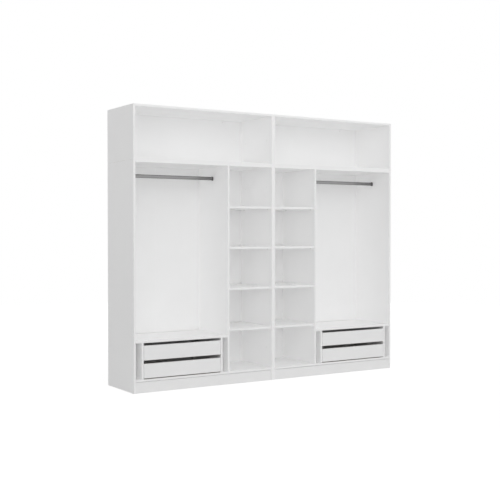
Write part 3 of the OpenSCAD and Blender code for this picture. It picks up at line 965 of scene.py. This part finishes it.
def add_cam(mesh, box, bolts):
    """A cam whose cross recess faces away from its bolt"""
    (low, high), center = box, middle(box)
    nearest = min(bolts, key=lambda bolt: (middle(bolt) - center).length)
    upwards = center.z > middle(nearest).z
    place = facing((center.x, center.y, low.z if upwards else high.z),
                   (0, 0, 1 if upwards else -1))
    recess = 3 * MM
    add_cross_head(mesh, place, (high.x - low.x) / 2, high.z - low.z, recess)


def add_bolt(mesh, box):
    """A bolt with its ridged thread towards the nearer side panel"""
    (low, high), center = box, middle(box)
    panels = [middle_of(f"{module}_{side}_side").x
              for module in MODULES for side in ("outer", "inner")]
    nearest = min(panels, key=lambda x: abs(x - center.x))
    towards = 1 if nearest > center.x else -1
    head = Vector((low.x if towards > 0 else high.x, center.y, center.z))
    length = high.x - low.x
    radius = (high.z - low.z) / 2
    waist = 0.62 * radius
    thread_len = 10 * MM
    neck = length - thread_len
    profile = [(0, 0), (0.8 * radius, 0), (radius, 0.6 * MM), (radius, 2.4 * MM),
               (waist, 3 * MM), (waist, 5 * MM), (radius, 5.6 * MM), (radius, neck)]
    for turn in range(int(thread_len / THREAD_PITCH)):
        level = neck + turn * THREAD_PITCH
        profile += [(waist, level + 0.1 * THREAD_PITCH),
                    (0.83 * radius, level + 0.6 * THREAD_PITCH)]
    profile += [(0.5 * radius, length), (0, length)]
    add_turned(mesh, profile, facing(head, (towards, 0, 0)), 20)


class WARDROBE_OT_corner_fittings(Undoable, Operator):
    """Model the cams with their cross recesses and ridged bolts, and dress the dowels"""
    bl_idname = "wardrobe.corner_fittings"
    bl_label = "Cams and dowels"

    def execute(self, context):
        boxes = solid_boxes("cam_fittings")
        bolts = [box for box in boxes if not is_cam(box)]
        mesh = bmesh.new()
        for cam in filter(is_cam, boxes):
            add_cam(mesh, cam, bolts)
        for bolt in bolts:
            add_bolt(mesh, bolt)
        make_piece(mesh, "cams_and_bolts", [cast_zinc()], "root", "cam_fittings")
        dress_fitting("dowels", beech_dowel())
        return {"FINISHED"}


def add_caps(mesh, box):
    """A hollow domed cap over each end of a bolt"""
    head_t, seat = 2 * MM, 0.05 * MM
    size = box[1] - box[0]
    axis = 0 if size.x > size.z else 2
    radius = size.y / 2 + fittings().cap_rim
    top = head_t + fittings().cap_dome
    profile = [(0, head_t + seat), (0.955 * radius, head_t + seat), (0.955 * radius, seat),
               (radius, seat), (radius, 0.55 * top), (0.93 * radius, 0.8 * top),
               (0.75 * radius, 0.92 * top), (0.45 * radius, 0.98 * top), (0, top)]
    for sign in (-1, 1):
        end = middle(box)
        end[axis] += sign * (size[axis] / 2 - head_t)
        direction = Vector((0, 0, 0))
        direction[axis] = sign
        add_turned(mesh, profile, facing(end, direction), 40)


class WARDROBE_OT_joining_bolts(Undoable, Operator):
    """Dress the joining bolts and cover their heads with caps"""
    bl_idname = "wardrobe.joining_bolts"
    bl_label = "Joining bolts"

    def execute(self, context):
        bolt_edge = 0.2 * MM
        dress_fitting("joining_bolts", cast_zinc(), bolt_edge)
        mesh = bmesh.new()
        for box in solid_boxes("joining_bolts"):
            add_caps(mesh, box)
        make_piece(mesh, "joining_bolt_caps", [white_moulded_plastic()], "root")
        return {"FINISHED"}


class WARDROBE_OT_shelf_pins(Undoable, Operator):
    """Dress the shelf pins"""
    bl_idname = "wardrobe.shelf_pins"
    bl_label = "Shelf pins"

    def execute(self, context):
        dress_fitting("shelf_pins", bright_plate())
        return {"FINISHED"}


def nail_panel(mesh, box, uprights, divider, levels):
    """Nails along a panel's edges that lie on a board"""
    low, high = box
    inset = 30 * MM
    beside = 4.5 * MM
    columns = [x for x in uprights if low.x < x < high.x]
    columns += [edge + inwards for edge, inwards in ((low.x, beside), (high.x, -beside))
                if abs(edge - divider) < beside]
    spots = [(x, z) for z in levels for x in nail_row(low.x + inset, high.x - inset)]
    spots += [(x, z) for x in columns for z in nail_row(levels[0] + inset, levels[1] - inset)]
    radius, height = fittings().nail_d / 2, fittings().nail_h
    profile = [(0, 0), (radius, 0), (radius, 0.4 * height), (0.85 * radius, 0.8 * height),
               (0.5 * radius, height), (0, height)]
    for x, z in spots:
        add_turned(mesh, profile, facing((x, high.y, z), (0, 1, 0)), 12)


def nail_row(start, end):
    """Even places from start to end, no further apart than the nail spacing"""
    steps = math.ceil((end - start) / fittings().nail_pitch)
    return [start + (end - start) * i / steps for i in range(steps + 1)]


class WARDROBE_OT_back_nails(Undoable, Operator):
    """Add the nails around the back panels"""
    bl_idname = "wardrobe.back_nails"
    bl_label = "Back panel nails"

    def execute(self, context):
        mesh = bmesh.new()
        for module in MODULES:
            uprights = [middle_of(f"{module}_{name}").x for name in ("outer_side", "inner_side")]
            divider = middle_of(f"{module}_divider").x
            for panels, level_boards in (("back_panels", ("floor", "ceiling")),
                                         ("top_unit_back", ("top_unit_floor", "top_unit_roof"))):
                levels = [middle_of(f"{module}_{name}").z for name in level_boards]
                for box in solid_boxes(f"{module}_{panels}"):
                    nail_panel(mesh, box, uprights, divider, levels)
        make_piece(mesh, "back_panel_nails", [zinc_plate()], "root")
        return {"FINISHED"}


def bent_outline(leg, bend):
    """Outline of a right-angled bent sheet, as distances forward and down"""
    thick = SHEET_T
    center = thick + bend
    turns = [math.pi / 2 * i / 6 for i in range(7)]
    outer, inner = ([(center - radius * math.cos(a), center - radius * math.sin(a))
                     for a in turns] for radius in (center, bend))
    return [(0, leg), *outer, (leg, 0), (leg, thick), *reversed(inner), (thick, leg)]


def add_bracket(mesh, low, high):
    """An angle of bent sheet, one leg on the back panel and one under the roof board"""
    bend, corner = 1 * MM, 4 * MM
    outline = bent_outline(high.y - low.y, bend)
    part = bmesh.new()
    ends = [[part.verts.new((x, high.y - forth, high.z - down)) for forth, down in outline]
            for x in (low.x, high.x)]
    part.faces.new(ends[0])
    part.faces.new(ends[1][::-1])
    join_rings(part, ends, len(outline), smooth=False)
    bmesh.ops.recalc_face_normals(part, faces=part.faces)
    tips = [edge for edge in part.edges if is_tip(edge, low)]
    bmesh.ops.bevel(part, geom=tips, offset=corner, offset_type="OFFSET", segments=6,
                    profile=0.5, affect="EDGES", clamp_overlap=False)
    merge(mesh, part)


def is_tip(edge, low):
    """Whether an edge runs through the sheet at the end of a leg"""
    first, second = (vertex.co for vertex in edge.verts)
    at_tip = any(max(first[i], second[i]) - low[i] < SAME for i in (1, 2))
    return at_tip and first.x == second.x and edge.calc_length() < SHEET_T + SAME


def add_screw(mesh, low, high):
    """A wood screw with a cross head below and a ridged shank"""
    head_r, head_t = (high.x - low.x) / 2, 2 * MM
    top = Vector(((low.x + high.x) / 2, (low.y + high.y) / 2, low.z + head_t))
    add_cross_head(mesh, facing(top, (0, 0, -1)), head_r, head_t, 0.7 * head_t)
    shank_r, length = 0.5 * head_r, high.z - top.z
    profile = [(0, 0), (shank_r, 0)]
    for turn in range(int(length / THREAD_PITCH) - 1):
        level = turn * THREAD_PITCH
        profile += [(0.75 * shank_r, level + 0.2 * THREAD_PITCH),
                    (shank_r, level + 0.7 * THREAD_PITCH)]
    add_turned(mesh, [*profile, (0, length)], facing(top, (0, 0, 1)), 20)


class WARDROBE_OT_glides_and_brackets(Undoable, Operator):
    """Dress the floor glides and model the wall brackets with their screws"""
    bl_idname = "wardrobe.glides_and_brackets"
    bl_label = "Glides and wall brackets"

    def execute(self, context):
        dress_fitting("floor_glides", white_moulded_plastic())
        brackets, screws = bmesh.new(), bmesh.new()
        least_bracket = 20 * MM
        for low, high in solid_boxes("wall_brackets"):
            if high.y - low.y > least_bracket:
                add_bracket(brackets, low, high)
            else:
                add_screw(screws, low, high)
        coat = white_powder_coat()
        holes = wall_hole_cutter(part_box("wall_brackets"), SHEET_T, 32)
        make_piece(brackets, "angle_brackets", [coat] * 3, "root",
                   "wall_brackets", holes)
        make_piece(screws, "bracket_screws", [coat], "root", "wall_brackets")
        return {"FINISHED"}


def seen_directly(tree):
    """One for rays from the camera, from gloss and through glass, and nought for others"""
    path = node(tree, "ShaderNodeLightPath").outputs
    most = math_node(tree, "MAXIMUM", path["Is Camera Ray"], path["Is Glossy Ray"])
    return math_node(tree, "MAXIMUM", most, path["Is Transmission Ray"])


def make_floor(settings):
    """A round floor that takes the shadow and fades to the white backdrop at its rim"""
    mesh = bmesh.new()
    bmesh.ops.create_circle(mesh, cap_ends=True, segments=96, radius=settings.floor_reach)
    floor = mesh_object(mesh, "studio_floor", [floor_material(settings)])


def floor_material(settings):
    color = settings.floor_color
    material, tree = start_material("studio_floor", color)
    place = object_place(tree)
    cloud = noise(tree, place, 0.6, 2.0)
    tone = blend_color(tree, cloud, scaled(color, 0.985), color)
    matt = node(tree, "ShaderNodeBsdfDiffuse", {"Color": tone})
    glow = node(tree, "ShaderNodeEmission",
                {"Color": (1, 1, 1, 1), "Strength": settings.backdrop_glow})
    distance = node(tree, "ShaderNodeVectorMath", {0: place}, operation="LENGTH")
    plain = ramp(tree, distance.outputs["Value"], settings.fade_start,
                 0.9 * settings.floor_reach, settings.backdrop, 1.0)
    share = math_node(tree, "MULTIPLY", seen_directly(tree), plain)
    mixed = node(tree, "ShaderNodeMixShader",
                 {0: share, 1: matt.outputs[0], 2: glow.outputs[0]})
    node(tree, "ShaderNodeOutputMaterial", {"Surface": mixed.outputs[0]})
    return material


def make_world(scene, settings):
    """White where it is seen directly, and the ambient light for everything else"""
    scene.world = bpy.data.worlds.new("studio_world")
    scene.world.use_nodes = True
    tree = scene.world.node_tree
    tree.nodes.clear()
    soft, plain = (node(tree, "ShaderNodeBackground",
                        {"Color": (1, 1, 1, 1), "Strength": strength}).outputs[0]
                   for strength in (settings.ambient, 1.0))
    mixed = node(tree, "ShaderNodeMixShader", {0: seen_directly(tree), 1: soft, 2: plain})
    node(tree, "ShaderNodeOutputWorld", {"Surface": mixed.outputs[0]})


def make_lamp(settings, name):
    """A far, large lamp. Strength 1 makes a white surface that faces it white"""
    strength, turn, height, spread = (getattr(settings, name + part)
                                      for part in ("", "_turn", "_height", "_spread"))
    data = bpy.data.lights.new(name + "_light", "SUN")
    data.energy = math.pi * strength
    data.angle = spread
    linked(data.name, data).rotation_euler = (math.pi / 2 - height, 0, turn)


def make_camera(scene, settings):
    data = bpy.data.cameras.new("camera")
    data.sensor_width = 36
    data.lens = settings.lens
    data.clip_end = 200
    camera = scene.camera = linked("camera", data)
    camera.location = settings.camera_place
    camera.rotation_euler = (math.pi / 2 + settings.camera_tilt, 0, -settings.camera_turn)


class WARDROBE_OT_studio(Undoable, Operator):
    """Make the floor, the lamps, the world and the camera"""
    bl_idname = "wardrobe.studio"
    bl_label = "Studio"

    def execute(self, context):
        scene = context.scene
        settings = scene.wardrobe_studio
        make_floor(settings)
        make_world(scene, settings)
        for name in ("key", "fill"):
            make_lamp(settings, name)
        make_camera(scene, settings)
        scene.view_settings.view_transform = "Standard"
        # Light goes to and fro many times between white boards
        scene.cycles.max_bounces = scene.cycles.diffuse_bounces = settings.bounces
        return {"FINISHED"}


OPERATORS = (
    WARDROBE_OT_studio,
    WARDROBE_OT_cabinet_boards,
    WARDROBE_OT_top_units,
    WARDROBE_OT_shelves,
    WARDROBE_OT_back_panels,
    WARDROBE_OT_drawer_inserts,
    WARDROBE_OT_drawers,
    WARDROBE_OT_runners,
    WARDROBE_OT_hanging_rods,
    WARDROBE_OT_corner_fittings,
    WARDROBE_OT_joining_bolts,
    WARDROBE_OT_shelf_pins,
    WARDROBE_OT_back_nails,
    WARDROBE_OT_glides_and_brackets,
)
SETTINGS = {
    "wardrobe_boards": BoardSettings,
    "wardrobe_fittings": FittingSettings,
    "wardrobe_studio": StudioSettings,
}


class WARDROBE_PT_sidebar(Panel):
    """Lists the operators that dress the wardrobe"""
    bl_idname = "WARDROBE_PT_sidebar"
    bl_label = "Wardrobe"
    bl_space_type = "VIEW_3D"
    bl_region_type = "UI"
    bl_category = "Wardrobe"

    def draw(self, context):
        column = self.layout.column(align=True)
        for operator in OPERATORS:
            column.operator(operator.bl_idname)
        for name, group in SETTINGS.items():
            box = self.layout.box()
            for key in group.__annotations__:
                box.prop(getattr(context.scene, name), key)


CLASSES = (*SETTINGS.values(), *OPERATORS, WARDROBE_PT_sidebar)


def register():
    for cls in CLASSES:
        bpy.utils.register_class(cls)
    for name, group in SETTINGS.items():
        setattr(bpy.types.Scene, name, PointerProperty(type=group))


def unregister():
    for name in SETTINGS:
        delattr(bpy.types.Scene, name)
    for cls in reversed(CLASSES):
        bpy.utils.unregister_class(cls)


def main():
    """Registers the add-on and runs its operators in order"""
    register()
    for operator in OPERATORS:
        getattr(bpy.ops.wardrobe, operator.bl_idname.removeprefix("wardrobe."))()


if __name__ == "__main__":
    main()
